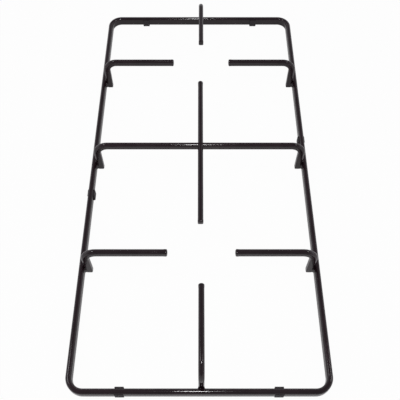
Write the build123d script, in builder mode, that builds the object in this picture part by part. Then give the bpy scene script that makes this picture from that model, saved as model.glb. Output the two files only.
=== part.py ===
"""Hob pan support: a welded and enamelled grid of bars over two burners, on clip-on rubber feet.

Millimetres, +Z up, +Y to the rear of the hob. The origin is on the hob's surface, under the
middle of the ring.
"""

import os

from build123d import *

# Ring: flat bar on edge, bent into a rounded rectangle
ring_width = 236.0
ring_length = 481.5
ring_corner_radius = 16.0
ring_height = 10.0

# Bars: flattened wire of one thickness with a rounded top, and the fingers are less tall than the ring
bar_thickness = 5.4
lower_edge_chamfer = 0.6
finger_height = 7.3
finger_tip_chamfer = 0.6
finger_bend_radius = 8.5

# Pan level: the rounded tops are levelled to a narrow flat crest
pan_height = 43.9
crest_levelling = 0.07

# Burners: fingers point at their centres and stop short of them
burner_x = 1.9
rear_burner_y = 126.8
front_burner_y = -119.2
burner_gap = 63.6

# Crossing between the burners
cross_bar_y = 5.6
centre_bar_x = 1.2
lap_clearance = 0.1

# Weld fillets where a leg stands against the inner face of the ring
weld_leg = 1.6
weld_depth = 2.0
weld_start = 0.6

# Rubber feet: sleeves that grip the ring from below
foot_base = 1.4
foot_wall = 1.05
foot_grip = 6.8
foot_length = 8.0
foot_clearance = 0.1
foot_edge_chamfer = 1.1
foot_end_chamfer = 0.4
end_foot_x = 70.0
left_foot_y = -33.0
right_foot_y = 38.6

# Levels and offsets that follow from the sizes above
ring_base = foot_base
finger_axis = pan_height + crest_levelling - finger_height / 2
side_face = ring_width / 2 - bar_thickness
end_face = ring_length / 2 - bar_thickness
leg_inset = finger_height / 2
bend_axis_radius = finger_bend_radius + finger_height / 2
half_gap = burner_gap / 2
half_bar = bar_thickness / 2
weld_toe = ring_base + weld_start
weld_height = ring_height - weld_start - half_bar
pan_plane = Plane.XY.offset(pan_height)
UP = Vector(0, 0, 1)


def upright_plane(origin, outward):
    """Vertical plane through origin: its x runs outwards and its y runs up."""
    return Plane(origin=origin, x_dir=outward, z_dir=Vector(*outward).cross(UP))


def bar_section(height):
    """Section of a bar on edge: its x is the thickness, its top is at -y and its lower edges at +y."""
    with BuildSketch() as section:
        with Locations((0, half_bar - height / 2)):
            Circle(half_bar)
            Rectangle(bar_thickness, height - half_bar, align=(Align.CENTER, Align.MIN))
    return section.sketch


def section_plane(path, side):
    """Plane across the start of a path, with its x along the bar's thickness."""
    return Plane(origin=path @ 0, x_dir=side, z_dir=path % 0)


def weld_plane(side_plane, face_distance):
    """Level plane at the foot of a leg's weld, with its x running into the ring's inner face."""
    toe = side_plane.from_local_coords((face_distance, weld_toe, 0))
    return Plane(origin=toe, x_dir=side_plane.x_dir, z_dir=UP)


def save(piece, name):
    """Label a finished piece and write its file."""
    piece.label = name
    export_step(piece, f"parts/{name}.step")


os.makedirs("parts", exist_ok=True)

# Sections of the two sizes of bar, of which the fingers' has softened lower edges
ring_section = bar_section(ring_height)
with BuildSketch() as finger_section:
    add(bar_section(finger_height))
    chamfer(finger_section.vertices().group_by(Axis.Y)[-1], length=lower_edge_chamfer)

# Plan of the fillets on both sides of a leg, flat against the ring's inner face
with BuildSketch() as weld_plan:
    with BuildLine():
        seat = Line((0, -half_bar - weld_leg), (0, half_bar + weld_leg))
        far_flank = Line(seat @ 1, (-weld_depth, half_bar))
        back = Line(far_flank @ 1, (-weld_depth, -half_bar))
        Line(back @ 1, seat @ 0)
    make_face()

# Ring frame: one bar carried round a rounded rectangle
side_axis = side_face + half_bar
end_axis = end_face + half_bar
with BuildPart() as ring_frame:
    with BuildLine(Plane.XY.offset(ring_base + ring_height / 2)) as loop:
        FilletPolyline(
            (-side_axis, -end_axis),
            (side_axis, -end_axis),
            (side_axis, end_axis),
            (-side_axis, end_axis),
            radius=ring_corner_radius - half_bar,
            close=True,
        )
    with BuildSketch(section_plane(loop.line, (loop.line % 0).cross(UP))):
        add(ring_section)
    sweep(path=loop.line)
save(ring_frame.part, "ring_frame")

# Fingers: a straight run from the tip, a bend and a leg welded inside the ring
fingers = {
    "rear_finger": ((burner_x, 0, 0), (0, 1, 0), rear_burner_y + half_gap, end_face),
    "front_finger": ((burner_x, 0, 0), (0, -1, 0), half_gap - front_burner_y, end_face),
    "rear_left_finger": ((0, rear_burner_y, 0), (-1, 0, 0), half_gap - burner_x, side_face),
    "rear_right_finger": ((0, rear_burner_y, 0), (1, 0, 0), half_gap + burner_x, side_face),
    "front_left_finger": ((0, front_burner_y, 0), (-1, 0, 0), half_gap - burner_x, side_face),
    "front_right_finger": ((0, front_burner_y, 0), (1, 0, 0), half_gap + burner_x, side_face),
}
for name, (origin, outward, tip, face_distance) in fingers.items():
    side_plane = upright_plane(origin, outward)
    leg_axis = face_distance - leg_inset
    with BuildPart() as finger:
        with BuildLine(side_plane) as run:
            FilletPolyline(
                (tip, finger_axis),
                (leg_axis, finger_axis),
                (leg_axis, ring_base),
                radius=bend_axis_radius,
            )
        with BuildSketch(section_plane(run.line, side_plane.z_dir)):
            add(finger_section.sketch)
        sweep(path=run.line)
        tip_face = finger.faces().sort_by_distance(run.line @ 0)[0]
        chamfer(tip_face.edges(), length=finger_tip_chamfer)
        split(bisect_by=pan_plane, keep=Keep.BOTTOM)
        with BuildSketch(weld_plane(side_plane, face_distance)):
            add(weld_plan.sketch)
        extrude(amount=weld_height)
    save(finger.part, name)

# Cross bar: bent down at both ends, with half its height cut away where the centre bar crosses
across = upright_plane((0, cross_bar_y, 0), (1, 0, 0))
against = upright_plane((0, cross_bar_y, 0), (-1, 0, 0))
leg_axis = side_face - leg_inset
lap_width = bar_thickness + 2 * lap_clearance
with BuildPart() as cross_bar:
    with BuildLine(across) as run:
        FilletPolyline(
            (-leg_axis, ring_base),
            (-leg_axis, finger_axis),
            (leg_axis, finger_axis),
            (leg_axis, ring_base),
            radius=bend_axis_radius,
        )
    with BuildSketch(section_plane(run.line, across.z_dir)):
        add(finger_section.sketch)
    sweep(path=run.line)
    split(bisect_by=pan_plane, keep=Keep.BOTTOM)
    with BuildSketch(Plane(origin=(centre_bar_x, cross_bar_y, finger_axis))):
        Rectangle(lap_width, lap_width)
    extrude(amount=finger_height, mode=Mode.SUBTRACT)
    with BuildSketch(weld_plane(across, side_face), weld_plane(against, side_face)):
        add(weld_plan.sketch)
    extrude(amount=weld_height)
save(cross_bar.part, "cross_bar")

# Centre bar: straight, notched from below to lie level over the cross bar
centre_rear = rear_burner_y - half_gap
centre_front = front_burner_y + half_gap
along = upright_plane((centre_bar_x, 0, 0), (0, 1, 0))
with BuildPart() as centre_bar:
    with BuildLine(along) as run:
        Line((centre_front, finger_axis), (centre_rear, finger_axis))
    with BuildSketch(section_plane(run.line, along.z_dir)):
        add(finger_section.sketch)
    sweep(path=run.line)
    ends = centre_bar.faces().filter_by(Axis.Y).sort_by(Axis.Y)
    chamfer(ends[0].edges() + ends[-1].edges(), length=finger_tip_chamfer)
    split(bisect_by=pan_plane, keep=Keep.BOTTOM)
    with BuildSketch(Plane(origin=(centre_bar_x, cross_bar_y, finger_axis))):
        Rectangle(lap_width, lap_width)
    extrude(amount=-finger_height, mode=Mode.SUBTRACT)
save(centre_bar.part, "centre_bar")

# Rubber feet: U-shaped sleeves, each threaded over one straight bar of the ring
feet = {
    "rear_left_foot": ((-end_foot_x, end_axis, 0), (1, 0, 0)),
    "rear_right_foot": ((end_foot_x, end_axis, 0), (1, 0, 0)),
    "front_left_foot": ((-end_foot_x, -end_axis, 0), (1, 0, 0)),
    "front_right_foot": ((end_foot_x, -end_axis, 0), (1, 0, 0)),
    "left_foot": ((-side_axis, left_foot_y, 0), (0, 1, 0)),
    "right_foot": ((side_axis, right_foot_y, 0), (0, 1, 0)),
}
channel_width = bar_thickness + 2 * foot_clearance
sleeve_width = channel_width + 2 * foot_wall
for name, (origin, bar_direction) in feet.items():
    sleeve_plane = Plane(origin=origin, x_dir=UP.cross(Vector(*bar_direction)), z_dir=bar_direction)
    with BuildPart() as foot:
        with BuildSketch(sleeve_plane) as sleeve:
            Rectangle(sleeve_width, foot_base + foot_grip, align=(Align.CENTER, Align.MIN))
            chamfer(sleeve.vertices().group_by(Axis.Y)[0], length=foot_edge_chamfer)
            with Locations((0, foot_base)):
                Rectangle(
                    channel_width,
                    foot_grip,
                    align=(Align.CENTER, Align.MIN),
                    mode=Mode.SUBTRACT,
                )
        extrude(amount=foot_length / 2, both=True)
        across_bar = Axis(origin, sleeve_plane.x_dir)
        walls = foot.faces().filter_by(across_bar).sort_by(across_bar)
        upright_edges = (walls[0].edges() + walls[-1].edges()).filter_by(Axis.Z)
        chamfer(upright_edges, length=foot_end_chamfer)
    save(foot.part, name)
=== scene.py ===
import math

import bpy
import numpy as np
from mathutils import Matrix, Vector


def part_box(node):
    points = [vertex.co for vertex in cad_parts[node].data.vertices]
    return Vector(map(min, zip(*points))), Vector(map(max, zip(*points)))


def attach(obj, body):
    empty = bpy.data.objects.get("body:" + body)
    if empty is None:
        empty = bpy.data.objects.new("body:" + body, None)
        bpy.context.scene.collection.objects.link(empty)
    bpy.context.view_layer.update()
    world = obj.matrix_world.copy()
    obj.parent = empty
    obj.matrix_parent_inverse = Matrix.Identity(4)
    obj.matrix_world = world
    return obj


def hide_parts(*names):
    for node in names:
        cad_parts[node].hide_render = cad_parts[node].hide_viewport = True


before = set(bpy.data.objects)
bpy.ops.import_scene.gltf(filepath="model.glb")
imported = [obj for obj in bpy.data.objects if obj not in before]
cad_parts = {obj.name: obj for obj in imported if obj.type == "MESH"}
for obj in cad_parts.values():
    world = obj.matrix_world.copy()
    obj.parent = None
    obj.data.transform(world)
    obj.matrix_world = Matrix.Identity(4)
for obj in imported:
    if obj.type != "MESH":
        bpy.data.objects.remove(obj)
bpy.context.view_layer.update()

# Hob pan support: bent and welded wire over two burners, black enamelled, on rubber feet.
# Metres, +Z up and +Y to the rear of the hob, as in the CAD nodes' own frame.
MM = 0.001
QUARTER_TURN = np.pi / 2
UP = np.array([0.0, 0.0, 1.0])
LEFT, RIGHT = np.array([-1.0, 0.0, 0.0]), np.array([1.0, 0.0, 0.0])
FRONT, REAR = np.array([0.0, -1.0, 0.0]), np.array([0.0, 1.0, 0.0])

# Flattened wire of the ring and the fingers, with its top levelled to a narrow crest
WIRE_THICKNESS = 5.4 * MM
HALF_WIRE = WIRE_THICKNESS / 2
FINGER_HEIGHT = 7.3 * MM
CREST_LEVELLING = 0.07 * MM
LOWER_ROUNDING = 1.1 * MM
FLANK_INSET = 0.1 * MM
BEND_RADIUS = 8.5 * MM
BEND_AXIS_RADIUS = BEND_RADIUS + FINGER_HEIGHT / 2
RING_CORNER = 16.0 * MM
SHARP_EDGE = math.radians(38)

# Half-lap at the crossing: the dish of its floors is a share of what is pressed away
LAP_CLEARANCE = 0.1 * MM
LAP_WALL_SLOPE = 0.01 * MM
LAP_FLOOR_DISH = 0.05

# Ends of the wire, rounded by the enamel, which gathers in a bead behind the edge
TIP_ROUNDING = 1.05 * MM
FOOT_ROUNDING = 0.6 * MM
TIP_DOME = 0.4 * MM
TIP_DOME_REACH = 3.0 * MM
TIP_FACE_START = 0.05
TIP_BEAD = 0.14 * MM
TIP_BEAD_CENTRE = 1.9 * MM
TIP_BEAD_SPREAD = 1.5 * MM
TIP_BEAD_END = TIP_BEAD_CENTRE + 3 * TIP_BEAD_SPREAD

# Welds in the corners between a leg and the ring, and over the two bars that cross
LEG_WELD = 1.5 * MM
LEG_WELD_DEPTH = 2.6 * MM
LEG_WELD_START = 0.6 * MM
WELD_SINK = 0.35 * MM
WELD_RIPPLE = 0.05
WELD_RIPPLE_COUNT = 9
WELD_END_SHARE = 0.05
CROSSING_WELD = 1.1 * MM
CROSSING_FILL = 1.6 * MM
CROSSING_SINK = 0.04 * MM
CROWN_SHOULDER = 0.85 * HALF_WIRE

# Rubber feet: tight sleeves with a thin wall outside the ring and a thick one inside it
FOOT_FIT = 0.05 * MM
FOOT_OUTER_WALL = 0.5 * MM
FOOT_INNER_WALL = 1.45 * MM
FOOT_WALL_TOP = 9.3 * MM
FOOT_LOWER_ROUNDING = 1.3 * MM
FOOT_LIP_ROUNDING = 0.4 * MM
FOOT_END_ROUNDING = 0.35 * MM

# Points on an outline, steps along a path, and the longest step on a straight run
ROUND_POINTS = 25
CORNER_POINTS = 8
BEND_STEPS = 32
RING_CORNER_STEPS = 40
TIP_STEPS = 9
BEAD_STEPS = 18
WELD_LEVELS = 25
SADDLE_POINTS = 41
RUN_STEP = 6.0 * MM

# Noise values between which a finish goes from one shade or roughness to the other
NOISE_LOW, NOISE_HIGH = 0.35, 0.65

# Floor just under the feet: shares of plain white in what the camera sees and in mirrored rays
FLOOR_REACH = 20.0
FLOOR_LEVEL = -0.2 * MM
FLOOR_SHADE = (0.9, 0.9, 0.9, 1)
FLOOR_WHITE = 0.97
FLOOR_MIRRORED_WHITE = 0.3

# Room: pale round the horizon, dim overhead and behind the camera
ROOM_PALE_UNTIL = 0.1
ROOM_PALE_SHADE = (0.944, 0.967, 1.0)
ROOM_DIM_FROM = 0.7
ROOM_DIM_SHADE = (0.178, 0.156, 0.178)
ROOM_MIRRORED_WHITE = 0.1

# Camera: place in metres, tilt from straight down, lens and sensor in its own millimetres
CAMERA_PLACE = (0.67 * MM, -353.25 * MM, 511.2 * MM)
CAMERA_TILT = math.radians(31.78)
CAMERA_LENS = 50.48
CAMERA_SENSOR = 36.0
CAMERA_NEAREST = 0.01


def corners(node):
    """Lowest and highest corner of a CAD node."""
    low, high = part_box(node)
    return np.array(low), np.array(high)


# Places that several pieces share
ring_low, ring_high = corners("ring_frame")
cross_low, cross_high = corners("cross_bar")
centre_low, centre_high = corners("centre_bar")
crossing = np.array([
    (centre_low[0] + centre_high[0]) / 2,
    (cross_low[1] + cross_high[1]) / 2,
    cross_high[2] + CREST_LEVELLING - FINGER_HEIGHT / 2,
])


def stand(name, data):
    """Stand a mesh, a lamp or a camera in the scene."""
    thing = bpy.data.objects.new(name, data)
    bpy.context.scene.collection.objects.link(thing)
    return thing


def put(name, shells, material, node):
    """Make one piece of closed shells, let it ride on the body and stand for its CAD node."""
    points, faces, start = [], [], 0
    for rings, closed in shells:
        points.append(rings.reshape(-1, 3))
        faces += skin(rings.shape[0], rings.shape[1], closed, start)
        start += len(points[-1])
    mesh = bpy.data.meshes.new(name)
    mesh.from_pydata(np.concatenate(points).tolist(), [], faces)
    mesh.polygons.foreach_set("use_smooth", np.ones(len(mesh.polygons), dtype=bool))
    mesh.set_sharp_from_angle(angle=SHARP_EDGE)
    mesh.materials.append(material)
    mesh.update()
    piece = stand(name, mesh)
    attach(piece, "root")
    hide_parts(node)


def skin(count, points, closed, start):
    """Faces over rings of points: quads from ring to ring, and an end face at each open end."""
    index = start + np.arange(count * points).reshape(count, points)
    if closed:
        index = np.concatenate([index, index[:1]])
    near, far = index[:-1], index[1:]
    near_next, far_next = np.roll(near, -1, axis=1), np.roll(far, -1, axis=1)
    quads = np.stack([near, near_next, far_next, far], axis=-1).reshape(-1, 4).tolist()
    if closed:
        return quads
    return quads + [index[0][::-1].tolist(), index[-1].tolist()]


# Outlines, and how they are carried
def arc(centre, radius, start, stop, count):
    """Points on an arc, centre + radius * (cos, sin) of the turn, and the way that each looks."""
    turn = np.radians(np.linspace(start, stop, count))
    looks = np.stack([np.cos(turn), np.sin(turn)], axis=1)
    return np.array(centre) + radius * looks, looks


def outline(*runs):
    """One closed outline from runs of (points, ways that they look)."""
    return np.concatenate([r[0] for r in runs]), np.concatenate([r[1] for r in runs])


def wire_outline(height):
    """Outline of the flattened wire: a half circle, flat flanks and two rounded lower edges.

    Two points close to its ends keep each flank flat.
    """
    shoulder = height / 2 - HALF_WIRE
    low = LOWER_ROUNDING - height / 2
    edge = HALF_WIRE - LOWER_ROUNDING
    flank = np.array([shoulder - FLANK_INSET, low + FLANK_INSET])
    aside = np.array([[1.0, 0.0], [1.0, 0.0]])
    left = np.stack([np.full(2, -HALF_WIRE), flank], axis=1), -aside
    right = np.stack([np.full(2, HALF_WIRE), flank[::-1]], axis=1), aside
    return outline(
        arc((0, shoulder), HALF_WIRE, 0, 180, ROUND_POINTS),
        left,
        arc((-edge, low), LOWER_ROUNDING, 180, 270, CORNER_POINTS),
        arc((edge, low), LOWER_ROUNDING, 270, 360, CORNER_POINTS),
        right,
    )


def carried(shape, places, across, upward, swell, opening=1.0, dome=0.0):
    """Carry an outline along a path: ring i = place i + across i * u + upward i * v.

    (u, v) runs over the outline's points, each moved by swell i the way it looks and then drawn
    in to the middle by opening i. Dome i sets a point forward by a bowl that grows with the
    squares of u and v. The path runs along across x upward, so that the faces look outwards.
    """
    points, looks = shape
    flat = points[None] + swell[:, None, None] * looks[None]
    flat = flat * np.broadcast_to(opening, swell.shape)[:, None, None]
    bowl = ((flat / np.abs(points).max(axis=0)) ** 2).sum(axis=-1, keepdims=True)
    forward = np.cross(across, upward) * np.broadcast_to(dome, swell.shape)[:, None]
    flat = flat[..., :1] * across[:, None] + flat[..., 1:] * upward[:, None]
    return places[:, None] + flat + bowl * forward[:, None]


# Runs of stations along the wire
def along(start, stop):
    """Even stations on a straight run, both ends included."""
    return np.linspace(start, stop, max(2, int(abs(stop - start) / RUN_STEP) + 1))


def end_stations(rounding):
    """Distances from an end over its quarter round: rounding * (1 - cos(turn))."""
    return rounding * (1 - np.cos(np.linspace(0, QUARTER_TURN, TIP_STEPS)))


def end_swell(distance, rounding, bead):
    """Swell near an end: a bell curve for the bead, less what the quarter round cuts away."""
    inside = np.clip(1 - distance / rounding, 0, 1)
    bell = bead * np.exp(-((distance - TIP_BEAD_CENTRE) / TIP_BEAD_SPREAD) ** 2)
    return bell - rounding * (1 - np.sqrt(1 - inside**2))


def tip_dome(distance):
    """Depth of a tip's domed face, which fades out behind it as the square of what is left."""
    return TIP_DOME * np.clip(1 - distance / TIP_DOME_REACH, 0, 1) ** 2


def tip_run():
    """Stations from a tip over its end face, its rounding and its bead: (stations, openings)."""
    face = np.linspace(TIP_FACE_START, 1, TIP_STEPS)[:-1]
    bead = np.linspace(TIP_ROUNDING, TIP_BEAD_END, BEAD_STEPS)[1:]
    behind = np.concatenate([end_stations(TIP_ROUNDING), bead])
    stations = np.concatenate([np.zeros(face.size), behind])
    return stations, np.concatenate([face, np.ones(behind.size)])


def leg_run(start, drop):
    """Stations down a leg, from start to the rounded end at drop."""
    upright = along(start, drop - FOOT_ROUNDING)
    return np.concatenate([upright, drop - end_stations(FOOT_ROUNDING)[::-1][1:]])


def lap_run(start, stop, middle):
    """Stations of a run with a lap in it: (stations, which of them are on the lap's floor)."""
    half = HALF_WIRE + LAP_CLEARANCE
    foot = half - LAP_WALL_SLOPE
    before, after = along(start, middle - half), along(middle + half, stop)
    stations = np.concatenate([before, [middle - foot, middle + foot], after])
    place = np.arange(stations.size)
    return stations, (place >= before.size) & (place < before.size + 2)


# Ring, fingers and bars
def ring_rings():
    """Rings of the ring: the wire's outline carried round a rounded rectangle.

    On each corner, place = corner's centre + radius * (cos, sin) of the turn.
    """
    half = ring_high[:2] - HALF_WIRE
    radius = RING_CORNER - HALF_WIRE
    signs = np.array([[1, 1], [-1, 1], [-1, -1], [1, -1]])
    quarter = np.linspace(0, QUARTER_TURN, RING_CORNER_STEPS + 1)
    turn = (np.arange(4) * QUARTER_TURN)[:, None] + quarter[None]
    outward = np.stack([np.cos(turn), np.sin(turn), np.zeros_like(turn)], axis=-1)
    centre = np.concatenate([signs * (half - radius), np.zeros((4, 1))], axis=1)
    places = centre[:, None] + radius * outward
    places[..., 2] = (ring_low[2] + ring_high[2]) / 2
    places, outward = places.reshape(-1, 3), outward.reshape(-1, 3)
    upward = np.broadcast_to(UP, places.shape)
    shape = wire_outline(ring_high[2] - ring_low[2])
    return carried(shape, places, -outward, upward, np.zeros(len(places)))


def finger_rings(node, outward):
    """Rings of a finger: its level run, a quarter bend and its leg, in the bar's upright plane.

    On the bend, reach = centre + radius * sin(turn) and fall = radius * (1 - cos(turn)). What
    stands above the pan's level is pressed down to it.
    """
    low, high = corners(node)
    length = abs((high - low) @ outward)
    tip = (low + high) / 2 - (length + TIP_DOME) / 2 * outward
    radius = BEND_AXIS_RADIUS
    run = length + (TIP_DOME - FINGER_HEIGHT) / 2
    axis = high[2] + CREST_LEVELLING - FINGER_HEIGHT / 2
    drop = axis - low[2]
    start, face = tip_run()
    level = np.concatenate([start, along(start[-1], run - radius)[1:]])
    bend = np.linspace(0, QUARTER_TURN, BEND_STEPS + 1)[1:]
    leg = leg_run(radius, drop)[1:]
    curve = run - radius + radius * np.sin(bend)
    reach = np.concatenate([level, curve, np.full(leg.size, run)])
    fall = np.concatenate([np.zeros(level.size), radius * (1 - np.cos(bend)), leg])
    turn = np.concatenate([np.zeros(level.size), bend, np.full(leg.size, QUARTER_TURN)])
    places = tip + reach[:, None] * outward
    places[:, 2] = axis - fall
    across = np.broadcast_to(np.cross(UP, outward), places.shape)
    upward = np.sin(turn)[:, None] * outward + np.cos(turn)[:, None] * UP
    swell = end_swell(reach, TIP_ROUNDING, TIP_BEAD) + end_swell(drop - fall, FOOT_ROUNDING, 0)
    opening = np.concatenate([face, np.ones(reach.size - face.size)])
    shape = wire_outline(FINGER_HEIGHT)
    rings = carried(shape, places, across, upward, swell, opening, tip_dome(reach))
    rings[..., 2] = np.minimum(rings[..., 2], high[2])
    return rings


def cross_bar_rings():
    """Rings of the cross bar: leg, bend, level run with the lap cut from above, bend and leg.

    The bends are those of a finger. What stands above the lap's floor is pressed down to it and
    a little further, in a shallow dish.
    """
    radius = BEND_AXIS_RADIUS
    reach = cross_high[0] - FINGER_HEIGHT / 2
    leg = leg_run(radius, crossing[2] - cross_low[2])[::-1]
    legs = np.full(leg.size, reach)
    bend = np.linspace(QUARTER_TURN, 0, BEND_STEPS + 1)[1:-1]
    curve = reach - radius + radius * np.sin(bend)
    fall = radius * (1 - np.cos(bend))
    level, lap = lap_run(radius - reach, reach - radius, crossing[0])
    x = np.concatenate([-legs, -curve, level, curve[::-1], legs])
    drop = np.concatenate([leg, fall, np.zeros(level.size), fall[::-1], leg[::-1]])
    z = crossing[2] - drop
    lean = np.concatenate([np.full(leg.size, QUARTER_TURN), bend])
    lean = np.concatenate([-lean, np.zeros(level.size), lean[::-1]])
    inside = np.zeros(x.size, dtype=bool)
    inside[leg.size + bend.size:leg.size + bend.size + level.size] = lap
    places = np.stack([x, np.full(x.size, crossing[1]), z], axis=1)
    upward = np.stack([np.sin(lean), np.zeros(x.size), np.cos(lean)], axis=1)
    across = np.broadcast_to(REAR, places.shape)
    swell = end_swell(z - cross_low[2], FOOT_ROUNDING, 0)
    rings = carried(wire_outline(FINGER_HEIGHT), places, across, upward, swell)
    rings[..., 2] = np.minimum(rings[..., 2], cross_high[2])
    above = np.maximum(rings[inside, :, 2] - crossing[2], 0)
    rings[inside, :, 2] -= (1 + LAP_FLOOR_DISH) * above
    return rings


def centre_bar_rings():
    """Rings of the centre bar: a level run with two tips and the lap cut from below.

    What hangs below the lap's floor is pressed up to it and a little further, in a shallow dish.
    """
    front, rear = centre_low[1] - TIP_DOME / 2, centre_high[1] + TIP_DOME / 2
    end, face = tip_run()
    level, lap = lap_run(front + end[-1], rear - end[-1], crossing[1])
    y = np.concatenate([front + end[:-1], level, rear - end[:-1][::-1]])
    inside = np.zeros(y.size, dtype=bool)
    inside[end.size - 1:end.size - 1 + level.size] = lap
    places = np.stack([np.full(y.size, crossing[0]), y, np.full(y.size, crossing[2])], axis=1)
    across = np.broadcast_to(LEFT, places.shape)
    upward = np.broadcast_to(UP, places.shape)
    inset = np.minimum(y - front, rear - y)
    swell = end_swell(inset, TIP_ROUNDING, TIP_BEAD)
    opening = np.concatenate([face[:-1], np.ones(level.size), face[-2::-1]])
    dome = np.where(y < crossing[1], 1, -1) * tip_dome(inset)
    rings = carried(wire_outline(FINGER_HEIGHT), places, across, upward, swell, opening, dome)
    rings[..., 2] = np.minimum(rings[..., 2], centre_high[2])
    below = np.maximum(crossing[2] - rings[inside, :, 2], 0)
    rings[inside, :, 2] += (1 + LAP_FLOOR_DISH) * below
    return rings


# Welds
def hollow_corner(first_leg, second_leg):
    """Plan of a hollow fillet: first leg * (1 - sin(turn)), second leg * (1 - cos(turn))."""
    turn = np.linspace(0, QUARTER_TURN, CORNER_POINTS)
    return first_leg * (1 - np.sin(turn)), second_leg * (1 - np.cos(turn))


def weld_swell():
    """Levels from -1 to 1 up a weld, and its swell there.

    The swell is the root of 1 - the level's fourth power, times 1 + a small sine for ripples.
    """
    level = np.linspace(-1, 1, WELD_LEVELS)
    ripple = 1 + WELD_RIPPLE * np.sin(WELD_RIPPLE_COUNT * np.pi * level)
    return level, np.maximum(np.sqrt(1 - level**4) * ripple, WELD_END_SHARE)[:, None]


def leg_weld(seat, outward):
    """The weld of a leg against the ring's inner face, through the leg from flank to flank.

    Its plan is a hollow fillet on each side, joined inside the leg and sunk into the ring.
    """
    level, swell = weld_swell()
    aside, depth = hollow_corner(LEG_WELD, LEG_WELD_DEPTH)
    aside, depth = HALF_WIRE + aside * swell, depth * swell
    sunk = np.full_like(swell, -WELD_SINK)
    plan_u = np.concatenate([aside, -aside[:, ::-1], -aside[:, :1], aside[:, :1]], axis=1)
    plan_v = np.concatenate([depth, depth[:, ::-1], sunk, sunk], axis=1)
    low, high = ring_low[2] + LEG_WELD_START, ring_high[2] - HALF_WIRE
    heights = (low + high) / 2 + (high - low) / 2 * level
    plan = plan_u[..., None] * np.cross(UP, outward) - plan_v[..., None] * outward
    return seat + plan + heights[:, None, None] * UP, False


def crown(offset):
    """Height of a bar's round top at an offset from its middle: root of half wire^2 - offset^2.

    Past its shoulder the top is carried on as a slope.
    """
    level = np.sqrt(HALF_WIRE**2 - CROWN_SHOULDER**2)
    inside = np.sqrt(np.maximum(HALF_WIRE**2 - offset**2, level**2))
    return inside - CROWN_SHOULDER / level * np.maximum(np.abs(offset) - CROWN_SHOULDER, 0)


def crossing_weld():
    """The weld at the crossing: a saddle over both crowns, with a hollow fillet in each corner.

    Its height is the higher of the two crowns, and where they are close their valley is filled
    by (fill - difference)^2 / (4 * fill). It hides just under the bars' own tops elsewhere.
    """
    reach, hollow = hollow_corner(CROSSING_WELD, CROSSING_WELD)
    inset = HALF_WIRE - CROSSING_SINK
    side, side_limit = inset + reach[::-1], inset + hollow[::-1]
    middle = np.linspace(-inset, inset, SADDLE_POINTS)[1:-1]
    middle_limit = np.full(middle.size, inset + CROSSING_WELD)
    x = np.concatenate([-side[::-1], middle, side])
    limit = np.concatenate([side_limit[::-1], middle_limit, side_limit])
    y = limit[:, None] * np.linspace(-1, 1, SADDLE_POINTS)
    one, other = crown(y), crown(x)[:, None] + np.zeros_like(y)
    filled = np.maximum(CROSSING_FILL - np.abs(one - other), 0) ** 2 / (4 * CROSSING_FILL)
    base = crossing[2] + FINGER_HEIGHT / 2 - HALF_WIRE
    top = np.minimum(base + np.maximum(one, other) + filled, cross_high[2]) - CROSSING_SINK
    low = np.full_like(y, crossing[2] - FINGER_HEIGHT / 2 + LOWER_ROUNDING)
    y, z = np.concatenate([y, y[:, ::-1]], axis=1), np.concatenate([low, top[:, ::-1]], axis=1)
    rings = np.stack([np.broadcast_to(x[:, None], y.shape), y, z], axis=-1)
    return rings + np.array([crossing[0], crossing[1], 0.0]), False


# Feet
def foot_rings(node, inward):
    """Rings of a rubber foot: a U-shaped outline with soft outer edges, carried along its bar.

    The outline's u runs into the ring and its v runs up.
    """
    low, high = corners(node)
    bar = np.cross(inward, UP)
    channel, base, top = HALF_WIRE + FOOT_FIT, ring_low[2] - low[2], FOOT_WALL_TOP
    inner, outer = channel + FOOT_INNER_WALL, channel + FOOT_OUTER_WALL
    lip, lower = FOOT_LIP_ROUNDING, FOOT_LOWER_ROUNDING
    groove = np.array([[channel, top], [channel, base], [-channel, base], [-channel, top]])
    groove_looks = np.array([[0.0, 1.0], [0.0, 0.0], [0.0, 0.0], [0.0, 1.0]])
    shape = outline(
        arc((inner - lower, lower), lower, 270, 360, CORNER_POINTS),
        arc((inner - lip, top - lip), lip, 0, 90, CORNER_POINTS),
        (groove, groove_looks),
        arc((lip - outer, top - lip), lip, 90, 180, CORNER_POINTS),
        arc((lower - outer, lower), lower, 180, 270, CORNER_POINTS),
    )
    length = abs((high - low) @ bar)
    end = end_stations(FOOT_END_ROUNDING)
    distance = np.concatenate([end, length - end[::-1]])
    places = (low + high) / 2 + (distance - length / 2)[:, None] * bar
    places[:, 2] = low[2]
    swell = end_swell(np.minimum(distance, length - distance), FOOT_END_ROUNDING, 0)
    across = np.broadcast_to(inward, places.shape)
    return carried(shape, places, across, np.broadcast_to(UP, places.shape), swell)


# Nodes that the finishes, the floor and the room share
def noise(nodes, links, where, waves, detail):
    """Noise over the object, in waves per metre."""
    texture = nodes.new("ShaderNodeTexNoise")
    texture.inputs["Scale"].default_value = waves
    texture.inputs["Detail"].default_value = detail
    links.new(where, texture.inputs["Vector"])
    return texture.outputs["Fac"]


def relief(nodes, links, height, strength, depth):
    """Bump from a noise value, depth in metres."""
    bump = nodes.new("ShaderNodeBump")
    bump.inputs["Strength"].default_value = strength
    bump.inputs["Distance"].default_value = depth
    links.new(height, bump.inputs["Height"])
    return bump


def shades(nodes, links, value, first, first_shade, last, last_shade):
    """Colour that goes from one shade to another as a value goes from first to last."""
    ramp = nodes.new("ShaderNodeValToRGB")
    start, stop = ramp.color_ramp.elements
    start.position, start.color = first, (*first_shade, 1)
    stop.position, stop.color = last, (*last_shade, 1)
    links.new(value, ramp.inputs["Fac"])
    return ramp.outputs["Color"]


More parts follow.
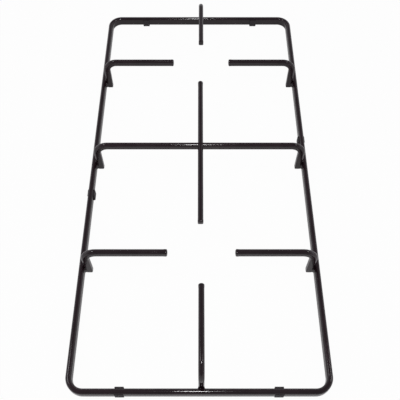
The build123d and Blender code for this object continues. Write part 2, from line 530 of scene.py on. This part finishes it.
def between(nodes, links, value, low, high):
    """Number between low and high, by a noise value."""
    span = nodes.new("ShaderNodeMapRange")
    span.inputs["From Min"].default_value = NOISE_LOW
    span.inputs["From Max"].default_value = NOISE_HIGH
    span.inputs["To Min"].default_value = low
    span.inputs["To Max"].default_value = high
    links.new(value, span.inputs["Value"])
    return span.outputs["Result"]


def worked_out(nodes, links, operation, first, second):
    """Result of one sum on two values, of which the second may be a plain number."""
    node = nodes.new("ShaderNodeMath")
    node.operation = operation
    links.new(first, node.inputs[0])
    if isinstance(second, float):
        node.inputs[1].default_value = second
    else:
        links.new(second, node.inputs[1])
    return node.outputs[0]


def background_share(nodes, links, mirrored):
    """Share of the plain white background: whole to the eye and through glass, part mirrored."""
    rays = nodes.new("ShaderNodeLightPath").outputs
    seen, through = rays["Is Camera Ray"], rays["Is Transmission Ray"]
    direct = worked_out(nodes, links, "MAXIMUM", seen, through)
    glossy = worked_out(nodes, links, "MULTIPLY", rays["Is Glossy Ray"], mirrored)
    return worked_out(nodes, links, "MAXIMUM", direct, glossy)


def mixed(nodes, links, share, first, second, surface):
    """Mix two shaders by a share, and lead them to a surface."""
    mix = nodes.new("ShaderNodeMixShader")
    links.new(share, mix.inputs["Fac"])
    links.new(first.outputs[0], mix.inputs[1])
    links.new(second.outputs[0], mix.inputs[2])
    links.new(mix.outputs[0], surface.inputs["Surface"])


# Finishes
def new_finish(name):
    """New finish: (material, nodes, links, shader, where on the object)."""
    material = bpy.data.materials.new(name)
    material.use_nodes = True
    nodes, links = material.node_tree.nodes, material.node_tree.links
    where = nodes.new("ShaderNodeTexCoord").outputs["Object"]
    return material, nodes, links, nodes["Principled BSDF"], where


def black_enamel():
    """Vitreous enamel: near-black glass with a slow waviness and fine pits."""
    material, nodes, links, shader, where = new_finish("black_enamel")
    tint = noise(nodes, links, where, waves=60, detail=3)
    flow = noise(nodes, links, where, waves=90, detail=1)
    specks = noise(nodes, links, where, waves=900, detail=2)
    dark, light = (0.016, 0.0075, 0.0100), (0.026, 0.0138, 0.0180)
    colour = shades(nodes, links, tint, NOISE_LOW, dark, NOISE_HIGH, light)
    links.new(colour, shader.inputs["Base Color"])
    links.new(between(nodes, links, tint, low=0.08, high=0.13), shader.inputs["Roughness"])
    shader.inputs["IOR"].default_value = 1.52
    waviness = relief(nodes, links, flow, strength=0.025, depth=0.3 * MM)
    pits = relief(nodes, links, specks, strength=0.02, depth=0.05 * MM)
    links.new(waviness.outputs["Normal"], pits.inputs["Normal"])
    links.new(pits.outputs["Normal"], shader.inputs["Normal"])
    return material


def foot_rubber():
    """Matte black rubber with a fine moulded grain."""
    material, nodes, links, shader, where = new_finish("foot_rubber")
    bloom = noise(nodes, links, where, waves=260, detail=4)
    specks = noise(nodes, links, where, waves=2600, detail=3)
    dark, light = (0.026, 0.021, 0.024), (0.042, 0.035, 0.040)
    colour = shades(nodes, links, bloom, NOISE_LOW, dark, NOISE_HIGH, light)
    links.new(colour, shader.inputs["Base Color"])
    links.new(between(nodes, links, bloom, low=0.55, high=0.72), shader.inputs["Roughness"])
    grain = relief(nodes, links, specks, strength=0.5, depth=0.2 * MM)
    links.new(grain.outputs["Normal"], shader.inputs["Normal"])
    return material


# Floor, room, lamps and camera
def pale_floor():
    """Wide pale floor: white to the camera, partly white in reflections, with a soft shadow."""
    material = bpy.data.materials.new("pale_floor")
    material.use_nodes = True
    nodes, links = material.node_tree.nodes, material.node_tree.links
    nodes.clear()
    matte = nodes.new("ShaderNodeBsdfDiffuse")
    matte.inputs["Color"].default_value = FLOOR_SHADE
    glow = nodes.new("ShaderNodeEmission")
    share = background_share(nodes, links, FLOOR_MIRRORED_WHITE)
    share = worked_out(nodes, links, "MULTIPLY", share, FLOOR_WHITE)
    mixed(nodes, links, share, matte, glow, nodes.new("ShaderNodeOutputMaterial"))
    plan = FLOOR_REACH * np.array([[-1, -1], [1, -1], [1, 1], [-1, 1]])
    points = np.concatenate([plan, np.full((4, 1), FLOOR_LEVEL)], axis=1)
    mesh = bpy.data.meshes.new("floor")
    mesh.from_pydata(points.tolist(), [], [(0, 1, 2, 3)])
    mesh.materials.append(material)
    ground = stand("floor", mesh)


def room():
    """Pale room that gets dimmer overhead and behind the camera, and is white to the camera."""
    world = bpy.data.worlds.new("studio")
    bpy.context.scene.world = world
    world.use_nodes = True
    nodes, links = world.node_tree.nodes, world.node_tree.links
    nodes.clear()
    way = nodes.new("ShaderNodeSeparateXYZ")
    links.new(nodes.new("ShaderNodeTexCoord").outputs["Generated"], way.inputs[0])
    behind = worked_out(nodes, links, "MULTIPLY", way.outputs["Y"], -1.0)
    dimming = worked_out(nodes, links, "MAXIMUM", way.outputs["Z"], behind)
    pale, dim = (ROOM_PALE_UNTIL, ROOM_PALE_SHADE), (ROOM_DIM_FROM, ROOM_DIM_SHADE)
    shade = shades(nodes, links, dimming, *pale, *dim)
    walls = nodes.new("ShaderNodeBackground")
    links.new(shade, walls.inputs["Color"])
    white = nodes.new("ShaderNodeBackground")
    white.inputs["Color"].default_value = (1, 1, 1, 1)
    share = background_share(nodes, links, ROOM_MIRRORED_WHITE)
    mixed(nodes, links, share, walls, white, nodes.new("ShaderNodeOutputWorld"))


def lamp(name, width, length, watts, place):
    """Soft oval lamp that shines straight down."""
    light = bpy.data.lights.new(name, "AREA")
    light.shape = "ELLIPSE"
    light.size, light.size_y = width, length
    light.energy = watts
    stand(name, light).location = place


def camera():
    """Camera in front of the support, looking down at it along +Y."""
    lens = bpy.data.cameras.new("camera")
    lens.sensor_width = CAMERA_SENSOR
    lens.lens = CAMERA_LENS
    lens.clip_start = CAMERA_NEAREST
    viewer = stand("camera", lens)
    viewer.location = CAMERA_PLACE
    viewer.rotation_euler = (CAMERA_TILT, 0, 0)
    bpy.context.scene.camera = viewer


ENAMEL = black_enamel()
RUBBER = foot_rubber()

# Ring
put("enamelled_ring", [(ring_rings(), True)], ENAMEL, "ring_frame")

# Fingers with the welds of their legs
for finger, outward in (
    ("rear_finger", REAR),
    ("front_finger", FRONT),
    ("rear_left_finger", LEFT),
    ("rear_right_finger", RIGHT),
    ("front_left_finger", LEFT),
    ("front_right_finger", RIGHT),
):
    finger_low, finger_high = corners(finger)
    finger_length = abs((finger_high - finger_low) @ outward)
    seat = (finger_low + finger_high) / 2 + finger_length / 2 * outward
    seat[2] = 0
    shells = [(finger_rings(finger, outward), False), leg_weld(seat, outward)]
    put("enamelled_" + finger, shells, ENAMEL, finger)

# Cross bar with the welds of its legs
left_seat = np.array([cross_low[0], crossing[1], 0.0])
right_seat = np.array([cross_high[0], crossing[1], 0.0])
shells = [(cross_bar_rings(), False), leg_weld(left_seat, LEFT), leg_weld(right_seat, RIGHT)]
put("enamelled_cross_bar", shells, ENAMEL, "cross_bar")

# Centre bar with the weld at the crossing
shells = [(centre_bar_rings(), False), crossing_weld()]
put("enamelled_centre_bar", shells, ENAMEL, "centre_bar")

# Rubber feet
for foot, inward in (
    ("rear_left_foot", FRONT),
    ("rear_right_foot", FRONT),
    ("front_left_foot", REAR),
    ("front_right_foot", REAR),
    ("left_foot", RIGHT),
    ("right_foot", LEFT),
):
    put("rubber_" + foot, [(foot_rings(foot, inward), False)], RUBBER, foot)

# Studio
pale_floor()
room()
lamp("overhead_lamp", width=0.07, length=0.17, watts=1.5, place=(-0.010, -0.304, 0.893))
lamp("left_lamp", width=0.25, length=0.25, watts=1.0, place=(-0.58, -0.03, 0.85))
lamp("right_lamp", width=0.25, length=0.25, watts=1.0, place=(0.78, -0.03, 0.85))
camera()
bpy.context.scene.view_settings.view_transform = "Standard"
